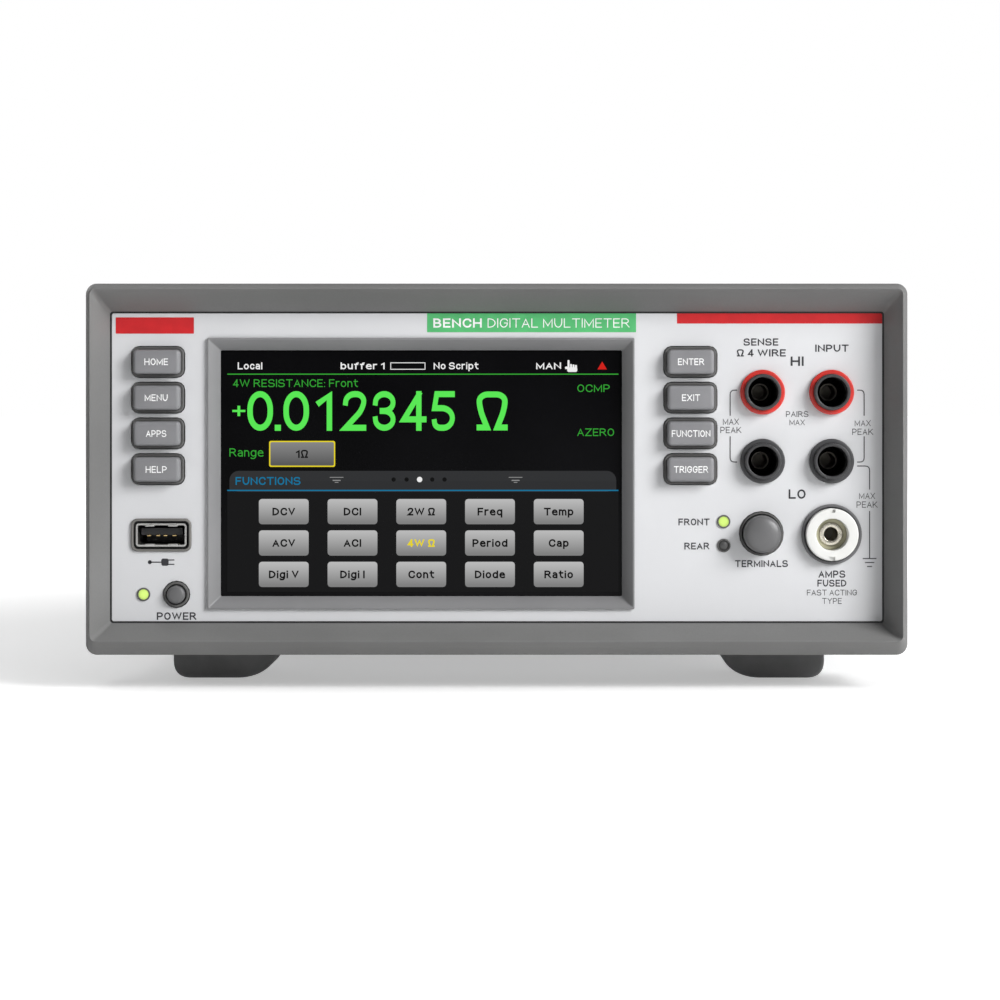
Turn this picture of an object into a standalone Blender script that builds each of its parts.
"""Bench multimeter: a half-rack instrument with rubber bumpers at both ends.

Metres, +Z up. The front panel faces -Y, and the origin lies on the bench under
the middle of the instrument. Each separate piece is one object, named for it.
"""

import math

import bmesh
import bpy
from mathutils import Matrix, Vector

MM = 0.001

# Clearances
GAP = 0.3 * MM              # between pieces that touch or slide on each other

# Overall
BODY_WIDTH = 213.8 * MM
BODY_HEIGHT = 88.4 * MM
BODY_DEPTH = 348.0 * MM     # front panel's face to rear panel's face
BODY_LIFT = 16.8 * MM       # bench to the underside of the body
BODY_RADIUS = 1.5 * MM      # round along the body's long edges
SHEET = 1.2 * MM            # steel of the tray and the cover

# Bumpers
BUMPER_SIDE = 5.7 * MM      # rubber beyond the body at each side
BUMPER_TOP = 6.3 * MM
BUMPER_BOTTOM = 7.1 * MM
FRONT_RIDGE = 10.0 * MM     # ridge of the front bumper ahead of the panel
REAR_RIDGE = 17.0 * MM      # ridge of the rear bumper beyond the rear panel
RIDGE_DROP = 4.0 * MM       # from the ridge back to the widest line
FRONT_SLEEVE = 26.0 * MM    # how far the bumper reaches back over the body
REAR_SLEEVE = 22.0 * MM
LIP_SIDE = 0.15 * MM        # how far the lip covers the panel's edge
LIP_TOP = 1.3 * MM
REAR_LIP = 3.0 * MM

# Feet
FOOT_WIDTH = 29.6 * MM
FOOT_LENGTH = 26.0 * MM
FOOT_INSET = 13.7 * MM      # side of the body to the foot's outer side
FOOT_SETBACK = 3.0 * MM     # end of the bumper's sleeve to the foot

# Front panel and the board behind it
PANEL_THICK = 2.5 * MM
BOARD_DROP = 7.5 * MM       # back of the panel to the face of the front board
BOARD_THICK = 1.6 * MM

# Display
SCREEN_WIDTH = 111.1 * MM   # glass that shows inside the frame
SCREEN_HEIGHT = 68.1 * MM
SCREEN_FROM_LEFT = 85.9 * MM
SCREEN_RISE = -1.7 * MM
FRAME_BAND = 3.4 * MM       # width of the frame around the glass
FRAME_OUT = 1.0 * MM
GLASS_THICK = 1.1 * MM
GLASS_MARGIN = 2.2 * MM     # glass hidden behind the frame
LCD_THICK = 4.8 * MM
LCD_MARGIN = 3.7 * MM

# Keys
KEY_WIDTH = 12.5 * MM
KEY_HEIGHT = 6.35 * MM
KEY_RADIUS = 1.0 * MM
KEY_OUT = 4.0 * MM
KEY_TRAVEL = 1.0 * MM
KEY_SPACING = 3.52 * MM     # between the caps of one column
KEY_TOP_RISE = 29.1 * MM
LEFT_KEYS_IN = 13.3 * MM
RIGHT_KEYS_IN = 53.5 * MM
KEY_FLANGE = 0.95 * MM
KEY_STEM = 1.9 * MM
COLLAR_WALL = 0.65 * MM
COLLAR_OUT = 0.8 * MM
PAD_THICK = 1.2 * MM
PAD_MARGIN = 1.4 * MM

# Round buttons and lamps
FLANGE_THICK = 1.2 * MM
POWER_RADIUS = 2.5 * MM
POWER_OUT = 2.5 * MM
POWER_TRAVEL = 1.6 * MM
POWER_IN = 18.4 * MM
POWER_RISE = -35.1 * MM
POWER_LAMP_IN = 9.3 * MM
TERMINALS_RADIUS = 5.1 * MM
TERMINALS_OUT = 7.0 * MM
TERMINALS_TRAVEL = 3.5 * MM
TERMINALS_IN = 33.9 * MM
TERMINALS_RISE = -18.3 * MM
ROD_RADIUS = 2.0 * MM
SWITCH_SETBACK = 58.0 * MM  # panel's face to the selector switch
LAMP_RADIUS = 1.4 * MM
LAMP_OUT = 0.5 * MM
LAMPS_IN = 44.3 * MM
LAMP_RISES = {"front_led": -15.0 * MM, "rear_led": -21.6 * MM}

# Input jacks
JACK_PITCH = 19.05 * MM
JACK_BORE = 4.2 * MM        # radius
JACK_WALL = 0.75 * MM
JACK_OUT = 3.6 * MM
JACK_DEPTH = 24.0 * MM
JACK_RING_BAND = 0.95 * MM
JACK_RING_OUT = 1.2 * MM
JACKS_IN = 14.55 * MM       # side of the body to the nearer column
JACKS_RISE = 1.7 * MM       # lower row
CONTACT_BORE = 2.0 * MM
CONTACT_RADIUS = 2.5 * MM
CONTACT_SET = 7.8 * MM      # panel's face to the contact's end
BLOCK_DEPTH = 28.0 * MM
BLOCK_MARGIN = 1.5 * MM

# Current input: a jack in the head of a fuse carrier
AMPS_RISE = -18.5 * MM
AMPS_HEAD = 7.25 * MM       # radius
AMPS_HEAD_OUT = 2.0 * MM    # thickness of the carrier's head
AMPS_FLANGE_OUT = 1.0 * MM
AMPS_BODY = 6.3 * MM
AMPS_LENGTH = 56.0 * MM
AMPS_BORE = 4.4 * MM
AMPS_CONTACT_RADIUS = 3.45 * MM
AMPS_CONTACT_SET = 1.0 * MM
AMPS_WALL = 1.1 * MM
AMPS_SLOT = 1.6 * MM
FUSE_RADIUS = 3.1 * MM
FUSE_LENGTH = 31.0 * MM

# Host port
USB_IN = 14.2 * MM
USB_RISE = -18.7 * MM
USB_MOUTH_WIDTH = 13.0 * MM
USB_MOUTH_HEIGHT = 5.4 * MM
USB_SHELL = 0.5 * MM
USB_BEZEL_BAND = 1.1 * MM
USB_DEPTH = 16.0 * MM

# Rear panel
REAR_THICK = 1.5 * MM
REAR_JACKS_IN = 18.9 * MM
REAR_JACKS_RISE = 5.0 * MM
REAR_AMPS_RISE = -20.0 * MM
REAR_BLOCK_DEPTH = 26.0 * MM
REAR_AMPS_LENGTH = 40.0 * MM
REAR_OUT = 1.6 * MM         # how far rear mouldings stand out of the rear panel
INLET_IN = 28.9 * MM
INLET_RISE = -14.0 * MM
INLET_WIDTH = 32.0 * MM
INLET_HEIGHT = 40.0 * MM
INLET_DEPTH = 26.0 * MM
SOCKET_WIDTH = 24.4 * MM
SOCKET_HEIGHT = 16.4 * MM
SOCKET_DEPTH = 15.0 * MM
SOCKET_RISE = 8.6 * MM      # middle of the inlet to the middle of its socket
DRAWER_WIDTH = 22.0 * MM
DRAWER_HEIGHT = 9.0 * MM
DRAWER_RISE = -12.0 * MM
DRAWER_LENGTH = 18.0 * MM
LAN_X = 34.0 * MM
USB_DEVICE_X = 10.0 * MM
TRIGGER_X = -12.0 * MM
PORTS_RISE = -24.0 * MM
SLOT_WIDTH = 96.0 * MM
SLOT_HEIGHT = 34.0 * MM
SLOT_X = -2.0 * MM
SLOT_RISE = 14.0 * MM

# Steps round a curve
CORNER_STEPS = 3
TURN_STEPS = 20

# Derived places
PANEL_Y = -(FRONT_RIDGE + BODY_DEPTH + REAR_RIDGE) / 2 + FRONT_RIDGE
REAR_Y = PANEL_Y + BODY_DEPTH
MID_Z = BODY_LIFT + BODY_HEIGHT / 2
LEFT = -BODY_WIDTH / 2
RIGHT = BODY_WIDTH / 2
PANEL_BACK = -PANEL_THICK
BOARD_FACE = PANEL_BACK - BOARD_DROP
KEY_PITCH = KEY_HEIGHT + KEY_SPACING
PAD_FRONT = PANEL_BACK - GAP
PAD_BACK = PAD_FRONT - PAD_THICK
FLANGE_FRONT = PAD_BACK - GAP
FLANGE_BACK = FLANGE_FRONT - FLANGE_THICK
STEM_END = FLANGE_BACK - KEY_STEM
JACK_COLUMNS = (RIGHT - JACKS_IN - JACK_PITCH, RIGHT - JACKS_IN)
JACK_ROWS = (JACKS_RISE, JACKS_RISE + JACK_PITCH)
REAR_COLUMNS = (RIGHT - REAR_JACKS_IN - JACK_PITCH, RIGHT - REAR_JACKS_IN)
REAR_ROWS = (REAR_JACKS_RISE, REAR_JACKS_RISE + JACK_PITCH)
REAR_AMPS_X = sum(REAR_COLUMNS) / 2
SCREEN_X = LEFT + SCREEN_FROM_LEFT
INLET_X = LEFT + INLET_IN

FRONT, REAR = 1, -1         # which way a piece faces


def clear_scene():
    """Start from nothing but this design."""
    for thing in list(bpy.data.objects):
        bpy.data.objects.remove(thing, do_unlink=True)


def new_collection(name, parent=None):
    collection = bpy.data.collections.new(name)
    (parent or bpy.context.scene.collection).children.link(collection)
    return collection


clear_scene()
PARTS = new_collection("bench_multimeter")
CUTTERS = new_collection("cutters")


def finish(name, colour, roughness, metallic=0.0):
    """A plain surface with its own colour, roughness and metal value."""
    surface = bpy.data.materials.new(name)
    surface.use_nodes = True
    shader = surface.node_tree.nodes["Principled BSDF"]
    shader.inputs["Base Color"].default_value = (*colour, 1.0)
    shader.inputs["Roughness"].default_value = roughness
    shader.inputs["Metallic"].default_value = metallic
    return surface


BUMPER_RUBBER = finish("bumper_rubber", (0.13, 0.13, 0.13), 0.55)
PANEL_PLASTIC = finish("panel_plastic", (0.72, 0.73, 0.75), 0.45)
FRAME_PLASTIC = finish("frame_plastic", (0.30, 0.30, 0.31), 0.35)
KEY_PLASTIC = finish("key_plastic", (0.21, 0.21, 0.23), 0.50)
BUTTON_PLASTIC = finish("button_plastic", (0.10, 0.10, 0.105), 0.45)
PAD_RUBBER = finish("pad_rubber", (0.06, 0.06, 0.06), 0.60)
BLACK_PLASTIC = finish("black_plastic", (0.02, 0.02, 0.02), 0.40)
WHITE_PLASTIC = finish("white_plastic", (0.80, 0.80, 0.78), 0.40)
RED_PLASTIC = finish("red_plastic", (0.60, 0.03, 0.02), 0.35)
SCREEN_GLASS = finish("screen_glass", (0.01, 0.01, 0.012), 0.08)
LIT_LENS = finish("lit_lens", (0.65, 1.0, 0.15), 0.20)
DARK_LENS = finish("dark_lens", (0.20, 0.20, 0.20), 0.25)
PAINTED_STEEL = finish("painted_steel", (0.55, 0.56, 0.57), 0.45, 0.3)
PLAIN_STEEL = finish("plain_steel", (0.62, 0.62, 0.60), 0.35, 1.0)
BRASS = finish("nickel_brass", (0.75, 0.70, 0.58), 0.25, 1.0)
CIRCUIT_BOARD = finish("circuit_board", (0.03, 0.16, 0.07), 0.50)
FUSE_CERAMIC = finish("fuse_ceramic", (0.82, 0.80, 0.74), 0.40)
FOOT_RUBBER = finish("foot_rubber", (0.035, 0.035, 0.037), 0.70)


def on_front(x, rise):
    """A point on the front panel's face: x across, rise above the body's mid-height."""
    return Vector((x, PANEL_Y, MID_Z + rise))


def on_rear(x, rise):
    """The same on the rear panel's outer face."""
    return Vector((x, REAR_Y, MID_Z + rise))


def add_object(name, mesh, place, surface):
    """Link a piece; with no surface it is a shape that only cuts or joins another."""
    thing = bpy.data.objects.new(name, mesh)
    thing.location = place
    if surface is None:
        CUTTERS.objects.link(thing)
        thing.hide_render = True
        thing.display_type = "WIRE"
    else:
        mesh.materials.append(surface)
        PARTS.objects.link(thing)
    return thing


def box(name, size, place, surface=None):
    """A block of the given size with its middle at the place."""
    shape = bmesh.new()
    bmesh.ops.create_cube(shape, size=1.0)
    bmesh.ops.scale(shape, vec=size, verts=shape.verts)
    mesh = bpy.data.meshes.new(name)
    shape.to_mesh(mesh)
    shape.free()
    return add_object(name, mesh, place, surface)


def block(name, low, high, surface=None):
    """A block between two corners."""
    low, high = Vector(low), Vector(high)
    return box(name, high - low, (low + high) / 2, surface)


def rounded_outline(width, height, radius, rise=0.0):
    """Points of a rectangle with round corners, in order round its middle."""
    points = []
    for quarter in range(4):
        side = 1 if quarter in (0, 3) else -1
        level = 1 if quarter in (0, 1) else -1
        for step in range(CORNER_STEPS + 1):
            angle = (quarter + step / CORNER_STEPS) * math.pi / 2
            x = side * (width / 2 - radius) + radius * math.cos(angle)
            z = level * (height / 2 - radius) + radius * math.sin(angle)
            points.append((x, z + rise))
    return points


def loft(name, sections, place, facing=FRONT, surface=None, ring=False):
    """Skin rounded rectangles one behind another; a ring joins the last to the first.

    A section is (out, width, height, radius) and may add its middle's rise.
    """
    shape = bmesh.new()
    loops = []
    for out, *outline in sections:
        loops.append([shape.verts.new((x, -facing * out, z)) for x, z in rounded_outline(*outline)])
    followers = loops[1:] + loops[:1] if ring else loops[1:]
    for loop, follower in zip(loops, followers):
        for near in range(len(loop)):
            far = (near + 1) % len(loop)
            shape.faces.new((loop[near], loop[far], follower[far], follower[near]))
    if not ring:
        shape.faces.new(loops[0])
        shape.faces.new(loops[-1])
    bmesh.ops.recalc_face_normals(shape, faces=shape.faces)
    mesh = bpy.data.meshes.new(name)
    shape.to_mesh(mesh)
    shape.free()
    return add_object(name, mesh, place, surface)


def turned(name, profile, place, facing=FRONT, surface=None, steps=TURN_STEPS):
    """Sweep (radius, out) points round the piece's axis, top first down the outer side."""
    count = len(profile)
    edges = [(point, point + 1) for point in range(count - 1)]
    if profile[0][0] > 0:
        edges.append((count - 1, 0))
    mesh = bpy.data.meshes.new(name)
    mesh.from_pydata([(radius, 0.0, out) for radius, out in profile], edges, [])
    thing = add_object(name, mesh, place, surface)
    thing.rotation_euler = (facing * math.pi / 2, 0.0, 0.0)
    sweep = thing.modifiers.new("Turn", "SCREW")
    sweep.steps = sweep.render_steps = steps
    sweep.use_merge_vertices = True
    sweep.merge_threshold = 0.01 * MM
    sweep.use_smooth_shade = True
    return thing


def disc(name, radius, top, bottom, place, facing=FRONT, surface=None, steps=TURN_STEPS):
    """A solid cylinder from top to bottom along the way it faces."""
    shape = bmesh.new()
    bmesh.ops.create_cone(shape, cap_ends=True, segments=steps, radius1=radius, radius2=radius,
                          depth=top - bottom)
    bmesh.ops.rotate(shape, matrix=Matrix.Rotation(math.pi / 2, 3, "X"), verts=shape.verts)
    bmesh.ops.translate(shape, vec=(0.0, -facing * (top + bottom) / 2, 0.0), verts=shape.verts)
    mesh = bpy.data.meshes.new(name)
    shape.to_mesh(mesh)
    shape.free()
    return add_object(name, mesh, place, surface)


def tube_profile(outer, inner, top, bottom):
    """Outline of a plain tube's wall."""
    return [(outer, top), (outer, bottom), (inner, bottom), (inner, top)]


def combine(thing, tools, operation):
    """Cut a set of shapes out of a piece in one step, or join them to it."""
    group = new_collection(f"{thing.name}_{operation.lower()}", CUTTERS)
    for tool in tools:
        CUTTERS.objects.unlink(tool)
        group.objects.link(tool)
    boolean = thing.modifiers.new(group.name, "BOOLEAN")
    boolean.operation = operation
    boolean.operand_type = "COLLECTION"
    boolean.collection = group
    boolean.solver = "EXACT"


def cut(thing, *tools):
    combine(thing, tools, "DIFFERENCE")


def join(thing, *tools):
    combine(thing, tools, "UNION")


# ---------------------------------------------------------------- bumpers and feet

def make_bumper(name, facing, ridge, sleeve, lip_side, lip_top, place):
    """A mitred rubber frame: slopes in to the panel, a sleeve back over the body."""
    width = BODY_WIDTH + 2 * BUMPER_SIDE
    height = BODY_HEIGHT + BUMPER_TOP + BUMPER_BOTTOM
    rise = (BUMPER_TOP - BUMPER_BOTTOM) / 2
    side_taper = 2.7 * MM
    top_taper = 1.5 * MM
    bottom_taper = 4.2 * MM
    inner_width = BODY_WIDTH + 2 * GAP
    inner_height = BODY_HEIGHT + 2 * GAP
    sections = [
        (ridge, width - 2 * side_taper, height - top_taper - bottom_taper, 1.5 * MM,
         rise + (bottom_taper - top_taper) / 2),
        (ridge - RIDGE_DROP, width, height, 3.0 * MM, rise),
        (-sleeve, width - 2 * MM, height - 2 * MM, 4.0 * MM, rise),
        (-sleeve, inner_width, inner_height, BODY_RADIUS),
        (GAP, inner_width, inner_height, BODY_RADIUS),
        (GAP, BODY_WIDTH - 2 * lip_side, BODY_HEIGHT - 2 * lip_top, 0.8 * MM),
    ]
    return loft(name, sections, place, facing, BUMPER_RUBBER, ring=True)


def make_foot(name, side, near_y):
    """A rubber foot: upright outer side, a long round on its inner side."""
    outer_x = BODY_WIDTH / 2 - FOOT_INSET
    inner_x = outer_x - FOOT_WIDTH
    top = BODY_LIFT - GAP
    outer_round = 5.0 * MM
    inner_run = 11.0 * MM
    inner_climb = 8.0 * MM
    steps = 6
    outline = [(outer_x, top)]
    for step in range(steps + 1):
        angle = -math.pi / 2 * step / steps
        outline.append((outer_x - outer_round + outer_round * math.cos(angle),
                        outer_round + outer_round * math.sin(angle)))
    for step in range(steps + 1):
        angle = -math.pi / 2 * (1 + step / steps)
        outline.append((inner_x + inner_run + inner_run * math.cos(angle),
                        inner_climb + inner_climb * math.sin(angle)))
    outline.append((inner_x, top))
    shape = bmesh.new()
    face = shape.faces.new([shape.verts.new((side * x, near_y, z)) for x, z in outline])
    swept = bmesh.ops.extrude_face_region(shape, geom=[face])
    far = [item for item in swept["geom"] if isinstance(item, bmesh.types.BMVert)]
    bmesh.ops.translate(shape, vec=(0.0, FOOT_LENGTH, 0.0), verts=far)
    bmesh.ops.recalc_face_normals(shape, faces=shape.faces)
    mesh = bpy.data.meshes.new(name)
    shape.to_mesh(mesh)
    shape.free()
    return add_object(name, mesh, (0.0, 0.0, 0.0), FOOT_RUBBER)


# ---------------------------------------------------------------- body

def make_tray():
    """A folded steel pan, with posts that carry the main board."""
    wall = 4.0 * MM
    half = BODY_WIDTH / 2 - SHEET - GAP
    near = PANEL_Y + PANEL_THICK + GAP
    far = REAR_Y - REAR_THICK - GAP
    low = BODY_LIFT
    pan = block("chassis_tray", (-half, near, low), (half, far, low + wall), PAINTED_STEEL)
    cut(pan, block("tray_hollow", (-half + SHEET, near + SHEET, low + SHEET),
                   (half - SHEET, far - SHEET, low + wall + MM)))
    size = (2 * POST_HALF, 2 * POST_HALF, SHEET / 2 + POST_HEIGHT)
    level = low + (SHEET + size[2]) / 2
    join(pan, *(box("tray_post", size, (x, y, level))
                for x in (MAIN_LEFT + POST_IN, MAIN_RIGHT - POST_IN)
                for y in (MAIN_NEAR + POST_IN, MAIN_FAR - POST_IN)))
    return pan


def make_cover():
    """A folded steel cover over the top and both sides, with slots to let warm air out."""
    near = PANEL_Y + PANEL_THICK + GAP
    inner = BODY_WIDTH / 2 - SHEET
    top = BODY_LIFT + BODY_HEIGHT
    face = (BODY_WIDTH, BODY_HEIGHT, BODY_RADIUS)
    cover = loft("top_cover", [(PANEL_BACK - GAP, *face), (-BODY_DEPTH, *face)], on_front(0.0, 0.0), FRONT,
                 PAINTED_STEEL)
    cut(cover, block("cover_hollow", (-inner, near - MM, BODY_LIFT - MM), (inner, REAR_Y + MM, top - SHEET)))
    slots = 9
    pitch = 9.0 * MM
    slot = (2 * MM + BODY_WIDTH, 3.0 * MM, 32.0 * MM)
    first = PANEL_Y + BODY_DEPTH * 0.58
    cut(cover, *(box("cover_slot", slot, (0.0, first + number * pitch, MID_Z)) for number in range(slots)))
    return cover


def make_front_panel():
    """The moulded front panel with an opening for everything that comes through it."""
    face = (BODY_WIDTH, BODY_HEIGHT, BODY_RADIUS)
    panel = loft("front_panel", [(0.0, *face), (PANEL_BACK, *face)], on_front(0.0, 0.0), FRONT, PANEL_PLASTIC)
    over, under = MM, PANEL_BACK - MM
    openings = []

    def window(name, width, height, radius, x, rise):
        outline = (width, height, radius)
        openings.append(loft(name, [(over, *outline), (under, *outline)], on_front(x, rise)))

    def hole(name, radius, x, rise, steps=TURN_STEPS):
        openings.append(disc(name, radius + GAP, over, under, on_front(x, rise), steps=steps))

    window("screen_window", FRAME_SKIRT_WIDTH + 2 * GAP, FRAME_SKIRT_HEIGHT + 2 * GAP, 0.6 * MM,
           SCREEN_X, SCREEN_RISE)
    for key in KEYS:
        window("key_window", COLLAR_WIDTH + 2 * GAP, COLLAR_HEIGHT + 2 * GAP, COLLAR_RADIUS + GAP,
               key["x"], key["rise"])
    window("usb_window", USB_SKIRT_WIDTH + 2 * GAP, USB_SKIRT_HEIGHT + 2 * GAP, 1.6 * MM,
           LEFT + USB_IN, USB_RISE)
    hole("power_hole", POWER_COLLAR_RADIUS, LEFT + POWER_IN, POWER_RISE, 16)
    hole("terminals_hole", TERMINALS_COLLAR_RADIUS, RIGHT - TERMINALS_IN, TERMINALS_RISE)
    for x, rise in LAMPS.values():
        hole("lamp_hole", LAMP_RADIUS, x, rise, 12)
    for x in JACK_COLUMNS:
        for rise in JACK_ROWS:
            hole("jack_hole", JACK_SKIRT_RADIUS, x, rise)
    hole("amps_hole", AMPS_BARREL_RADIUS, JACK_COLUMNS[1], AMPS_RISE)
    cut(panel, *openings)
    return panel


# ---------------------------------------------------------------- display

FRAME_WIDTH = SCREEN_WIDTH + 2 * FRAME_BAND
FRAME_HEIGHT = SCREEN_HEIGHT + 2 * FRAME_BAND
FRAME_SKIRT_WIDTH = FRAME_WIDTH - 1.5 * MM
FRAME_SKIRT_HEIGHT = FRAME_HEIGHT - 1.5 * MM


def make_display():
    """The sloped frame, the touch glass behind it and the LCD module behind that."""
    place = on_front(SCREEN_X, SCREEN_RISE)
    rim = 0.5 * MM
    lip = 0.4 * MM
    corner = 0.4 * MM
    sections = [
        (FRAME_OUT, FRAME_WIDTH, FRAME_HEIGHT, corner),
        (GAP, FRAME_WIDTH, FRAME_HEIGHT, corner),
        (GAP, FRAME_SKIRT_WIDTH, FRAME_SKIRT_HEIGHT, corner),
        (PANEL_BACK, FRAME_SKIRT_WIDTH, FRAME_SKIRT_HEIGHT, corner),
        (PANEL_BACK, SCREEN_WIDTH, SCREEN_HEIGHT, corner),
        (PANEL_BACK + lip, SCREEN_WIDTH, SCREEN_HEIGHT, corner),
        (FRAME_OUT, FRAME_WIDTH - 2 * rim, FRAME_HEIGHT - 2 * rim, corner),
    ]
    loft("display_frame", sections, place, FRONT, FRAME_PLASTIC, ring=True)
    glass_front = PANEL_BACK - GAP
    glass_back = glass_front - GLASS_THICK
    glass = (SCREEN_WIDTH + 2 * GLASS_MARGIN, SCREEN_HEIGHT + 2 * GLASS_MARGIN, MM)
    loft("display_glass", [(glass_front, *glass), (glass_back, *glass)], place, FRONT, SCREEN_GLASS)
    lcd_front = glass_back - GAP
    lcd = (SCREEN_WIDTH + 2 * LCD_MARGIN, SCREEN_HEIGHT + 2 * LCD_MARGIN, MM)
    loft("lcd_module", [(lcd_front, *lcd), (lcd_front - LCD_THICK, *lcd)], place, FRONT, PLAIN_STEEL)


# ---------------------------------------------------------------- keys

COLLAR_WIDTH = KEY_WIDTH + 2 * GAP + 2 * COLLAR_WALL
COLLAR_HEIGHT = KEY_HEIGHT + 2 * GAP + 2 * COLLAR_WALL
COLLAR_RADIUS = KEY_RADIUS + GAP + COLLAR_WALL
COLUMNS = {"left": LEFT + LEFT_KEYS_IN, "right": RIGHT - RIGHT_KEYS_IN}
KEY_NAMES = {"left": ("home", "menu", "apps", "help"), "right": ("enter", "exit", "function", "trigger")}
KEYS = [{"name": f"key_{name}", "x": COLUMNS[side], "rise": KEY_TOP_RISE - row * KEY_PITCH}
        for side in ("left", "right") for row, name in enumerate(KEY_NAMES[side])]


def make_key(key):
    """A cap with an eased edge, a flange behind its pad and a stem that works a switch."""
    ease = 0.4 * MM
    cap = (KEY_WIDTH, KEY_HEIGHT, KEY_RADIUS)
    flange = (KEY_WIDTH + 2 * KEY_FLANGE, KEY_HEIGHT + 2 * KEY_FLANGE, KEY_RADIUS)
    stem = (4.0 * MM, 3.0 * MM, 0.5 * MM)
    sections = [
        (KEY_OUT, KEY_WIDTH - 2 * ease, KEY_HEIGHT - 2 * ease, KEY_RADIUS),
        (KEY_OUT - ease, *cap),
        (FLANGE_FRONT, *cap),
        (FLANGE_FRONT, *flange),
        (FLANGE_BACK, *flange),
        (FLANGE_BACK, *stem),
        (STEM_END, *stem),
    ]
    return loft(key["name"], sections, on_front(key["x"], key["rise"]), FRONT, KEY_PLASTIC)


def make_keypad(side):
    """A rubber pad behind the panel with a raised collar for each key of its column."""
    column = [key for key in KEYS if key["x"] == COLUMNS[side]]
    middle = (column[0]["rise"] + column[-1]["rise"]) / 2
    width = COLLAR_WIDTH + 2 * PAD_MARGIN
    height = column[0]["rise"] - column[-1]["rise"] + COLLAR_HEIGHT + 2 * PAD_MARGIN
    pad = loft(f"keypad_{side}", [(PAD_FRONT, width, height, MM), (PAD_BACK, width, height, MM)],
               on_front(COLUMNS[side], middle), FRONT, PAD_RUBBER)
    root = (PAD_FRONT + PAD_BACK) / 2
    collar = (COLLAR_WIDTH, COLLAR_HEIGHT, COLLAR_RADIUS)
    opening = (KEY_WIDTH + 2 * GAP, KEY_HEIGHT + 2 * GAP, KEY_RADIUS + GAP)
    places = [on_front(key["x"], key["rise"]) for key in column]
    join(pad, *(loft("collar", [(COLLAR_OUT, *collar), (root, *collar)], place) for place in places))
    cut(pad, *(loft("key_opening", [(COLLAR_OUT + MM, *opening), (PAD_BACK - MM, *opening)], place)
               for place in places))
    return pad


# ---------------------------------------------------------------- round buttons and lamps

POWER_COLLAR_RADIUS = POWER_RADIUS + GAP + 0.7 * MM
TERMINALS_COLLAR_RADIUS = TERMINALS_RADIUS + GAP + 0.5 * MM
LAMPS = {"power_led": (LEFT + POWER_LAMP_IN, POWER_RISE)}
LAMPS.update({name: (RIGHT - LAMPS_IN, rise) for name, rise in LAMP_RISES.items()})
COLLAR_FLANGE = 1.4 * MM


def make_collar(name, outer, inner, x, rise, steps=TURN_STEPS):
    """A ring through the panel with a flange behind it, which guides a button."""
    profile = [
        (outer, COLLAR_OUT),
        (outer, PAD_FRONT),
        (outer + COLLAR_FLANGE, PAD_FRONT),
        (outer + COLLAR_FLANGE, PAD_BACK),
        (inner, PAD_BACK),
        (inner, COLLAR_OUT),
    ]
    return turned(name, profile, on_front(x, rise), FRONT, PAD_RUBBER, steps)


def make_button(name, radius, out, dome, stem_radius, stem_end, x, rise, steps=TURN_STEPS):
    """A round cap with a slight dome, a flange behind its collar, and a stem or rod."""
    flange = radius + 1.0 * MM
    profile = [
        (0.0, out),
        (radius * 0.55, out - dome * 0.3),
        (radius * 0.88, out - dome),
        (radius, out - 2.2 * dome),
        (radius, FLANGE_FRONT),
        (flange, FLANGE_FRONT),
        (flange, FLANGE_BACK),
        (stem_radius, FLANGE_BACK),
        (stem_radius, stem_end),
        (0.0, stem_end),
    ]
    return turned(name, profile, on_front(x, rise), FRONT, BUTTON_PLASTIC, steps)


def make_lamp(name, surface):
    """A light pipe: a low dome in the panel, a shoulder behind it and a stem to its LED."""
    x, rise = LAMPS[name]
    shoulder = LAMP_RADIUS + 0.9 * MM
    profile = [
        (0.0, LAMP_OUT),
        (LAMP_RADIUS * 0.7, LAMP_OUT * 0.6),
        (LAMP_RADIUS, 0.0),
        (LAMP_RADIUS, PAD_FRONT),
        (shoulder, PAD_FRONT),
        (shoulder, PAD_BACK),
        (LAMP_RADIUS, PAD_BACK),
        (LAMP_RADIUS, BOARD_FACE + MM),
        (0.0, BOARD_FACE + MM),
    ]
    return turned(name, profile, on_front(x, rise), FRONT, surface, 12)


# ---------------------------------------------------------------- input jacks

JACK_TUBE_RADIUS = JACK_BORE + JACK_WALL
JACK_SKIRT_RADIUS = JACK_TUBE_RADIUS + GAP + 0.45 * MM
JACK_RINGS = {"sense_hi": (0, 1), "input_hi": (1, 1), "sense_lo": (0, 0), "input_lo": (1, 0)}


def make_jack(name, column, row):
    """The coloured ring round one jack, and the sprung contact sleeve inside it."""
    place = on_front(JACK_COLUMNS[column], JACK_ROWS[row])
    outer = JACK_TUBE_RADIUS + GAP + JACK_RING_BAND
    inner = JACK_TUBE_RADIUS + GAP
    profile = [
        (outer - 0.3 * MM, JACK_RING_OUT),
        (outer, JACK_RING_OUT - 0.3 * MM),
        (outer, GAP),
        (JACK_SKIRT_RADIUS, GAP),
        (JACK_SKIRT_RADIUS, PANEL_BACK),
        (inner, PANEL_BACK),
        (inner, JACK_RING_OUT),
    ]
    turned(f"jack_ring_{name}", profile, place, FRONT, RED_PLASTIC if row else BUTTON_PLASTIC)
    floor = -JACK_DEPTH + MM
    tail = -(BLOCK_DEPTH + 4.0 * MM)
    profile = [
        (0.0, floor),
        (CONTACT_BORE, floor),
        (CONTACT_BORE, -CONTACT_SET),
        (CONTACT_RADIUS, -CONTACT_SET),
        (CONTACT_RADIUS, tail),
        (0.0, tail),
    ]
    turned(f"jack_contact_{name}", profile, place, FRONT, BRASS, 16)


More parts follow.
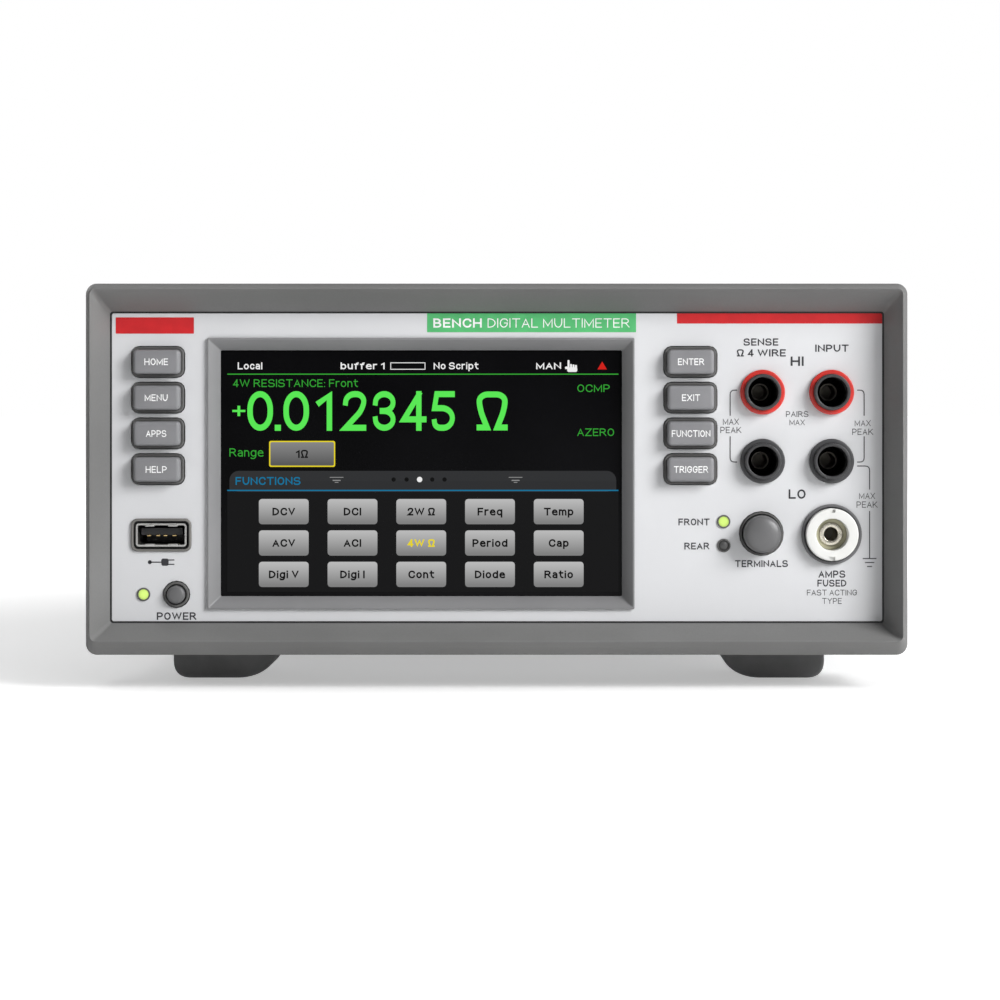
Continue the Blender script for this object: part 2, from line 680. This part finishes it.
def make_terminal_block():
    """The moulded insulator behind the panel, with a shrouded tube for each jack."""
    reach = JACK_TUBE_RADIUS + BLOCK_MARGIN
    front = PANEL_BACK - GAP
    low = on_front(JACK_COLUMNS[0] - reach, JACK_ROWS[0] - reach)
    high = on_front(JACK_COLUMNS[1] + reach, JACK_ROWS[1] + reach)
    low.y = PANEL_Y - front
    high.y = PANEL_Y + BLOCK_DEPTH
    moulding = block("front_terminal_block", low, high, BUTTON_PLASTIC)
    places = [on_front(x, rise) for x in JACK_COLUMNS for rise in JACK_ROWS]
    join(moulding, *(disc("jack_tube", JACK_TUBE_RADIUS, JACK_OUT, front - MM, place) for place in places))
    bores = [disc("jack_bore", JACK_BORE, JACK_OUT + MM, -JACK_DEPTH, place) for place in places]
    pins = [disc("pin_hole", CONTACT_RADIUS + GAP, -JACK_DEPTH + MM, -BLOCK_DEPTH - MM, place, steps=16)
            for place in places]
    cut(moulding, *bores, *pins)
    return moulding


# ---------------------------------------------------------------- current input

AMPS_BARREL_BORE = AMPS_BODY + GAP
AMPS_BARREL_RADIUS = AMPS_BARREL_BORE + AMPS_WALL
AMPS_FLANGE = AMPS_HEAD + GAP + 0.8 * MM
AMPS_SEAT = -0.3 * MM       # shoulder that the carrier's head rests over
HEAD_BACK = AMPS_FLANGE_OUT + GAP
HEAD_FRONT = HEAD_BACK + AMPS_HEAD_OUT
AMPS_BORE_DEPTH = 14.0 * MM


def make_amps_holder():
    """The holder: a grey flange on the panel and a long barrel behind it."""
    end = -(AMPS_LENGTH + 4.0 * MM)
    profile = [
        (AMPS_FLANGE, AMPS_FLANGE_OUT),
        (AMPS_FLANGE, GAP),
        (AMPS_BARREL_RADIUS, GAP),
        (AMPS_BARREL_RADIUS, end),
        (AMPS_BARREL_BORE, end),
        (AMPS_BARREL_BORE, AMPS_SEAT),
        (AMPS_BARREL_RADIUS - 0.1 * MM, AMPS_SEAT + 0.4 * MM),
        (AMPS_HEAD + GAP, AMPS_FLANGE_OUT),
    ]
    return turned("amps_holder", profile, on_front(JACK_COLUMNS[1], AMPS_RISE), FRONT, FRAME_PLASTIC)


def carrier_profile(length, bore_depth):
    """Outline of a fuse carrier: head, body, the jack's bore and the fuse's well."""
    return [
        (AMPS_HEAD - 0.4 * MM, HEAD_FRONT),
        (AMPS_HEAD, HEAD_FRONT - 0.4 * MM),
        (AMPS_HEAD, HEAD_BACK),
        (AMPS_BODY, HEAD_BACK),
        (AMPS_BODY, -length),
        (FUSE_RADIUS + GAP, -length),
        (FUSE_RADIUS + GAP, -bore_depth - 2.0 * MM),
        (AMPS_CONTACT_RADIUS + GAP, -bore_depth - 2.0 * MM),
        (AMPS_CONTACT_RADIUS + GAP, -bore_depth),
        (AMPS_BORE, -bore_depth),
        (AMPS_BORE, HEAD_FRONT),
    ]


def make_amps_carrier(name, place, facing, length):
    """The carrier turns in its holder; two notches in its head take a screwdriver."""
    carrier = turned(name, carrier_profile(length, AMPS_BORE_DEPTH), place, facing, WHITE_PLASTIC)
    notch = (AMPS_SLOT, 1.6 * MM, 2 * MM)
    head = place + Vector((0.0, -facing * HEAD_FRONT, 0.0))
    edge = AMPS_HEAD - 0.4 * MM
    cut(carrier, *(box("carrier_notch", notch, head + Vector((0.0, 0.0, level * edge))) for level in (-1, 1)))
    return carrier


def make_amps_input():
    """The carrier with its contact sleeve and fuse: the three turn together."""
    place = on_front(JACK_COLUMNS[1], AMPS_RISE)
    make_amps_carrier("amps_fuse_carrier", place, FRONT, AMPS_LENGTH)
    far = -(AMPS_BORE_DEPTH + 1.6 * MM)
    outline = tube_profile(AMPS_CONTACT_RADIUS, CONTACT_BORE - 0.1 * MM, -AMPS_CONTACT_SET, far)
    turned("amps_contact", outline, place, FRONT, BRASS, 16)
    near = far - 2.0 * MM
    disc("amps_fuse", FUSE_RADIUS, near, near - FUSE_LENGTH, place, FRONT, FUSE_CERAMIC, 16)


# ---------------------------------------------------------------- host port

USB_SHELL_WIDTH = USB_MOUTH_WIDTH + 2 * USB_SHELL
USB_SHELL_HEIGHT = USB_MOUTH_HEIGHT + 2 * USB_SHELL
USB_SKIRT_WIDTH = USB_SHELL_WIDTH + 2 * GAP + 1.2 * MM
USB_SKIRT_HEIGHT = USB_SHELL_HEIGHT + 2 * GAP + 1.2 * MM


def make_usb_port():
    """The black bezel, the steel shell and the tongue with its contact block."""
    place = on_front(LEFT + USB_IN, USB_RISE)
    opening = (USB_SHELL_WIDTH + 2 * GAP, USB_SHELL_HEIGHT + 2 * GAP, 1.2 * MM)
    rim = (opening[0] + 2 * USB_BEZEL_BAND, opening[1] + 2 * USB_BEZEL_BAND, 1.8 * MM)
    skirt = (USB_SKIRT_WIDTH, USB_SKIRT_HEIGHT, 1.3 * MM)
    sections = [
        (0.7 * MM, *rim),
        (GAP, *rim),
        (GAP, *skirt),
        (PANEL_BACK, *skirt),
        (PANEL_BACK, *opening),
        (0.7 * MM, *opening),
    ]
    loft("usb_bezel", sections, place, FRONT, BLACK_PLASTIC, ring=True)
    outer = (USB_SHELL_WIDTH, USB_SHELL_HEIGHT, 0.8 * MM)
    inner = (USB_MOUTH_WIDTH, USB_MOUTH_HEIGHT, 0.4 * MM)
    sections = [(0.3 * MM, *outer), (-USB_DEPTH, *outer), (-USB_DEPTH, *inner), (0.3 * MM, *inner)]
    loft("usb_host_shell", sections, place, FRONT, PLAIN_STEEL, ring=True)
    width = USB_MOUTH_WIDTH - 1.6 * MM
    height = USB_MOUTH_HEIGHT - 2 * GAP
    tongue = (width, 1.9 * MM, 0.3 * MM, 0.9 * MM)
    heel = (width, height, 0.3 * MM, 0.0)
    step = -USB_DEPTH + 4.0 * MM
    sections = [(-1.4 * MM, *tongue), (step, *tongue), (step, *heel), (-USB_DEPTH + MM, *heel)]
    loft("usb_host_tongue", sections, place, FRONT, BLACK_PLASTIC)


# ---------------------------------------------------------------- inside

MAIN_LEFT = LEFT + 50.0 * MM
MAIN_RIGHT = RIGHT - 4.0 * MM
MAIN_NEAR = PANEL_Y + 40.0 * MM
MAIN_FAR = REAR_Y - 34.0 * MM
POST_IN = 6.0 * MM
POST_HALF = 2.5 * MM
POST_HEIGHT = 5.0 * MM
MAIN_UNDER = BODY_LIFT + SHEET + POST_HEIGHT + GAP
MAIN_TOP = MAIN_UNDER + BOARD_THICK
ROD_END = -(SWITCH_SETBACK - TERMINALS_TRAVEL - 2 * GAP)


def make_front_board():
    """The board behind the display: it carries a switch for each key and the power button."""
    near = PANEL_Y - BOARD_FACE
    far = near + BOARD_THICK
    edge = 4.0 * MM
    right = RIGHT - LAMPS_IN + 2.4 * MM
    board = block("front_circuit_board", (LEFT + edge, near, BODY_LIFT + 1.5 * edge),
                  (right, far, MID_Z + BODY_HEIGHT / 2 - edge), CIRCUIT_BOARD)
    inside = near + BOARD_THICK / 2
    pressed = [(key["x"], key["rise"], KEY_TRAVEL) for key in KEYS]
    pressed.append((LEFT + POWER_IN, POWER_RISE, POWER_TRAVEL))
    switches = []
    for x, rise, travel in pressed:
        top = PANEL_Y - STEM_END + travel + GAP
        place = on_front(x, rise)
        place.y = (top + inside) / 2
        switches.append(box("press_switch", (6.0 * MM, inside - top, 4.0 * MM), place))
    join(board, *switches)
    place = on_front(LEFT + USB_IN, USB_RISE)
    place.y = inside
    width = USB_SHELL_WIDTH + 2 * GAP + MM
    cut(board, box("port_window", (width, 4 * BOARD_THICK, USB_SHELL_HEIGHT + 2 * GAP + MM), place))
    return board


def make_main_board():
    """The main board, with the larger parts that stand on it."""
    board = block("main_board", (MAIN_LEFT, MAIN_NEAR, MAIN_UNDER), (MAIN_RIGHT, MAIN_FAR, MAIN_TOP),
                  CIRCUIT_BOARD)
    root = MAIN_TOP - BOARD_THICK / 2
    parts = ((16.0, MAIN_FAR, -54.8, 26.0, 22.0, 9.0),
             (57.5, MAIN_FAR, -38.4, 18.0, 18.0, 3.0),
             (95.9, MAIN_FAR, -27.4, 30.0, 12.0, 16.0),
             (25.6, MAIN_NEAR, 68.5, 14.0, 14.0, 12.0),
             (25.6, MAIN_NEAR, 115.1, 14.0, 14.0, 12.0))
    standing = []
    for across, end, inward, width, depth, height in parts:
        size = (width * MM, depth * MM, height * MM + BOARD_THICK / 2)
        place = (MAIN_LEFT + across * MM, end + inward * MM, root + size[2] / 2)
        standing.append(box("board_part", size, place))
    join(board, *standing)
    return board


def make_measurement_shield():
    """A drawn steel can over the sensitive part of the main board, open below."""
    height = 22.0 * MM
    low = (MAIN_LEFT + 50.0 * MM, MAIN_NEAR + 52.0 * MM, MAIN_TOP + GAP)
    high = (MAIN_RIGHT - 8.0 * MM, MAIN_FAR - 94.0 * MM, MAIN_TOP + GAP + height)
    can = block("measurement_shield", low, high, PLAIN_STEEL)
    wall = 0.8 * MM
    cut(can, block("shield_hollow", (low[0] + wall, low[1] + wall, low[2] - MM),
                   (high[0] - wall, high[1] - wall, high[2] - wall)))
    return can


def make_power_supply():
    """The mains supply: a board with its transformer, capacitors and heat sink."""
    left = LEFT + SHEET + 2.5 * MM
    right = MAIN_LEFT - 4.0 * MM
    near, far = PANEL_Y + 120.0 * MM, REAR_Y - 42.0 * MM
    supply = block("power_supply", (left, near, MAIN_UNDER), (right, far, MAIN_TOP), CIRCUIT_BOARD)
    root = MAIN_TOP - BOARD_THICK / 2
    middle = (left + right) / 2
    stand = ((0.28, 34.0, 34.0, 30.0), (0.62, 22.0, 22.0, 34.0), (0.86, 36.0, 14.0, 22.0))
    join(supply, *(box("supply_part", (width * MM, depth * MM, height * MM),
                       (middle, near + along * (far - near), root + height * MM / 2))
                   for along, width, depth, height in stand))
    return supply


def make_terminals_switch():
    """The push-push switch that swaps the front and rear terminals."""
    half = 7.0 * MM
    x = RIGHT - TERMINALS_IN
    near = PANEL_Y + SWITCH_SETBACK
    top = MID_Z + TERMINALS_RISE + 5.0 * MM
    return block("terminals_switch", (x - half, near, MAIN_TOP + GAP), (x + half, near + 26.0 * MM, top),
                 WHITE_PLASTIC)


def make_ribbon_cable():
    """A flat cable from the front board back and down to the main board."""
    width = 36.0 * MM
    x = SCREEN_X
    start = PANEL_Y - BOARD_FACE + BOARD_THICK + GAP
    level = MID_Z - 14.0 * MM
    drop = level - (MAIN_TOP + GAP)
    reach = MAIN_NEAR + 20.0 * MM - start
    shape = bmesh.new()
    steps = 14
    rows = []
    for step in range(steps + 1):
        part = step / steps
        y = start + reach * part
        z = level - drop * (0.5 - 0.5 * math.cos(math.pi * part)) + 1.0 * MM
        rows.append([shape.verts.new((x + side * width / 2, y, z)) for side in (-1, 1)])
    for near, far in zip(rows, rows[1:]):
        shape.faces.new((near[0], near[1], far[1], far[0]))
    mesh = bpy.data.meshes.new("ribbon_cable")
    shape.to_mesh(mesh)
    shape.free()
    ribbon = add_object("ribbon_cable", mesh, (0.0, 0.0, 0.0), FRAME_PLASTIC)
    wall = ribbon.modifiers.new("Wall", "SOLIDIFY")
    wall.thickness = 0.9 * MM
    wall.offset = 0.0
    return ribbon


# ---------------------------------------------------------------- rear

REAR_BLOCK_REACH = JACK_TUBE_RADIUS + 2.5 * MM
PORT_FACE = 0.8 * MM        # how far the ports stand out of the rear panel
LAN_WIDTH, LAN_HEIGHT = 16.0 * MM, 13.6 * MM
DEVICE_WIDTH, DEVICE_HEIGHT = 12.0 * MM, 11.0 * MM
TRIGGER_THREAD = 4.8 * MM


def make_rear_block():
    """The insulator behind the rear jacks and the rear current input."""
    low = on_rear(REAR_COLUMNS[0] - REAR_BLOCK_REACH, REAR_AMPS_RISE - AMPS_BARREL_RADIUS)
    high = on_rear(REAR_COLUMNS[1] + REAR_BLOCK_REACH, REAR_ROWS[1] + REAR_BLOCK_REACH)
    low.y = REAR_Y - REAR_BLOCK_DEPTH
    high.y = REAR_Y + REAR_OUT
    moulding = block("rear_terminal_block", low, high, BLACK_PLASTIC)
    places = [on_rear(x, rise) for x in REAR_COLUMNS for rise in REAR_ROWS]
    join(moulding, *(disc("rear_tube", JACK_TUBE_RADIUS, JACK_OUT, 0.0, place, REAR) for place in places))
    floor = -JACK_DEPTH + 2 * MM
    bores = [disc("rear_bore", JACK_BORE, JACK_OUT + MM, floor, place, REAR) for place in places]
    well = disc("rear_well", AMPS_BARREL_BORE, REAR_OUT + MM, -REAR_BLOCK_DEPTH - MM,
                on_rear(REAR_AMPS_X, REAR_AMPS_RISE), REAR)
    cut(moulding, *bores, well)
    return moulding


def make_rear_panel():
    """The steel rear panel with its openings and a field of air slots."""
    half = BODY_WIDTH / 2 - SHEET - GAP
    low = (-half, REAR_Y - REAR_THICK, BODY_LIFT + SHEET)
    high = (half, REAR_Y, BODY_LIFT + BODY_HEIGHT - SHEET - GAP)
    panel = block("rear_panel", low, high, PAINTED_STEEL)
    depth = 4 * REAR_THICK
    openings = []

    def window(name, width, height, x, rise):
        openings.append(box(name, (width + 2 * GAP, depth, height + 2 * GAP), on_rear(x, rise)))

    block_width = JACK_PITCH + 2 * REAR_BLOCK_REACH
    block_low = REAR_AMPS_RISE - AMPS_BARREL_RADIUS
    block_high = REAR_ROWS[1] + REAR_BLOCK_REACH
    window("block_window", block_width, block_high - block_low, REAR_AMPS_X, (block_low + block_high) / 2)
    window("inlet_window", INLET_WIDTH, INLET_HEIGHT, INLET_X, INLET_RISE)
    window("lan_window", LAN_WIDTH, LAN_HEIGHT, LAN_X, PORTS_RISE)
    window("device_window", DEVICE_WIDTH, DEVICE_HEIGHT, USB_DEVICE_X, PORTS_RISE)
    window("slot_window", SLOT_WIDTH - 8 * MM, SLOT_HEIGHT - 8 * MM, SLOT_X, SLOT_RISE)
    openings.append(disc("trigger_hole", TRIGGER_THREAD + GAP, depth, -depth, on_rear(TRIGGER_X, PORTS_RISE),
                         REAR, steps=16))
    slots = 7
    pitch = 5.0 * MM
    for number in range(slots):
        x = INLET_X + (number - (slots - 1) / 2) * pitch
        window("air_slot", 2.0 * MM, 16.0 * MM, x, 26.0 * MM)
    cut(panel, *openings)
    return panel


def make_ports():
    """The network port, the device port, the trigger socket and the slot cover."""
    def shell(name, x, width, length, height):
        back = Vector((0.0, PORT_FACE - length / 2, 0.0))
        return box(name, (width, length, height), on_rear(x, PORTS_RISE) + back, PLAIN_STEEL)

    lan = shell("lan_port", LAN_X, LAN_WIDTH, 18.0 * MM, LAN_HEIGHT)
    cut(lan, box("lan_mouth", (12.0 * MM, 26.0 * MM, 8.6 * MM), on_rear(LAN_X, PORTS_RISE + 0.4 * MM)))
    device = shell("usb_device_port", USB_DEVICE_X, DEVICE_WIDTH, 16.0 * MM, DEVICE_HEIGHT)
    well = (8.6 * MM, 7.9 * MM, 1.0 * MM)
    core = (5.6 * MM, 3.2 * MM, 0.3 * MM)
    sections = [(2 * MM, *well), (-9.0 * MM, *well), (-9.0 * MM, *core), (2 * MM, *core)]
    cut(device, loft("device_mouth", sections, on_rear(USB_DEVICE_X, PORTS_RISE), REAR, ring=True))
    profile = [
        (4.75 * MM, 11.0 * MM),
        (4.75 * MM, 2.2 * MM),
        (7.0 * MM, 2.2 * MM),
        (7.0 * MM, GAP),
        (TRIGGER_THREAD, GAP),
        (TRIGGER_THREAD, -8.0 * MM),
        (0.0, -8.0 * MM),
    ]
    bore = [
        (0.0, 9.0 * MM),
        (2.4 * MM, 9.0 * MM),
        (2.4 * MM, 2.0 * MM),
        (4.05 * MM, 2.0 * MM),
        (4.05 * MM, 11.0 * MM),
    ]
    turned("trigger_socket", bore + profile, on_rear(TRIGGER_X, PORTS_RISE), REAR, PLAIN_STEEL, 16)
    plate = (SLOT_WIDTH, SLOT_HEIGHT, MM)
    cover = loft("slot_cover", [(1.5 * MM, *plate), (GAP, *plate)], on_rear(SLOT_X, SLOT_RISE), REAR,
                 PAINTED_STEEL)
    screw_in = SLOT_WIDTH / 2 - 5.0 * MM
    places = [on_rear(SLOT_X + side * screw_in, SLOT_RISE) for side in (-1, 1)]
    join(cover, *(disc("thumb_screw", 3.2 * MM, 6.0 * MM, MM, place, REAR, steps=12) for place in places))


def make_inlet():
    """The mains inlet with its three pins, and the fuse drawer under its socket."""
    place = on_rear(INLET_X, INLET_RISE)
    inlet = box("mains_inlet", (INLET_WIDTH, INLET_DEPTH + REAR_OUT, INLET_HEIGHT),
                place + Vector((0.0, (REAR_OUT - INLET_DEPTH) / 2, 0.0)), BLACK_PLASTIC)
    socket = place + Vector((0.0, REAR_OUT, SOCKET_RISE))
    cut(inlet, box("socket_hollow", (SOCKET_WIDTH, 2 * SOCKET_DEPTH, SOCKET_HEIGHT), socket))
    pin = (2.0 * MM, SOCKET_DEPTH, 4.0 * MM)
    pins = ((-7.0 * MM, -1.5 * MM), (0.0, 3.0 * MM), (7.0 * MM, -1.5 * MM))
    join(inlet, *(box("inlet_pin", pin, socket + Vector((x, -SOCKET_DEPTH / 2 - 1.0 * MM, rise)))
                  for x, rise in pins))
    drawer = place + Vector((0.0, REAR_OUT, DRAWER_RISE))
    well = (DRAWER_WIDTH + 2 * GAP, 2 * (DRAWER_LENGTH + GAP), DRAWER_HEIGHT + 2 * GAP)
    cut(inlet, box("drawer_well", well, drawer))
    front = 1.2 * MM
    tray = box("fuse_drawer", (DRAWER_WIDTH, DRAWER_LENGTH + front, DRAWER_HEIGHT),
               drawer + Vector((0.0, (front - DRAWER_LENGTH) / 2, 0.0)), BLACK_PLASTIC)
    cut(tray, box("fuse_trough", (DRAWER_WIDTH - 3 * MM, DRAWER_LENGTH - 4 * MM, DRAWER_HEIGHT),
                  drawer + Vector((0.0, -DRAWER_LENGTH / 2, 2.0 * MM))))
    return inlet


# ---------------------------------------------------------------- assembly

def main():
    make_bumper("front_bumper", FRONT, FRONT_RIDGE, FRONT_SLEEVE, LIP_SIDE, LIP_TOP, on_front(0.0, 0.0))
    make_bumper("rear_bumper", REAR, REAR_RIDGE, REAR_SLEEVE, REAR_LIP, REAR_LIP, on_rear(0.0, 0.0))
    front_foot = PANEL_Y + FRONT_SLEEVE + FOOT_SETBACK
    rear_foot = REAR_Y - REAR_SLEEVE - FOOT_SETBACK - FOOT_LENGTH
    for side, side_name in ((-1, "left"), (1, "right")):
        make_foot(f"foot_front_{side_name}", side, front_foot)
        make_foot(f"foot_rear_{side_name}", side, rear_foot)
    make_tray()
    make_cover()
    make_front_panel()
    make_display()
    for key in KEYS:
        make_key(key)
    for side in COLUMNS:
        make_keypad(side)
    make_collar("power_collar", POWER_COLLAR_RADIUS, POWER_RADIUS + GAP, LEFT + POWER_IN, POWER_RISE, 16)
    make_button("power_button", POWER_RADIUS, POWER_OUT, 0.3 * MM, 1.2 * MM, STEM_END, LEFT + POWER_IN,
                POWER_RISE, 16)
    make_collar("terminals_collar", TERMINALS_COLLAR_RADIUS, TERMINALS_RADIUS + GAP, RIGHT - TERMINALS_IN,
                TERMINALS_RISE)
    make_button("terminals_button", TERMINALS_RADIUS, TERMINALS_OUT, 0.5 * MM, ROD_RADIUS, ROD_END,
                RIGHT - TERMINALS_IN, TERMINALS_RISE)
    make_lamp("power_led", LIT_LENS)
    make_lamp("front_led", LIT_LENS)
    make_lamp("rear_led", DARK_LENS)
    for name, (column, row) in JACK_RINGS.items():
        make_jack(name, column, row)
    make_terminal_block()
    make_amps_holder()
    make_amps_input()
    make_usb_port()
    make_front_board()
    make_main_board()
    make_measurement_shield()
    make_power_supply()
    make_terminals_switch()
    make_ribbon_cable()
    make_rear_block()
    rear_well = on_rear(REAR_AMPS_X, REAR_AMPS_RISE) + Vector((0.0, REAR_OUT - AMPS_FLANGE_OUT, 0.0))
    make_amps_carrier("rear_amps_fuse_carrier", rear_well, REAR, REAR_AMPS_LENGTH)
    make_rear_panel()
    make_ports()
    make_inlet()


main()
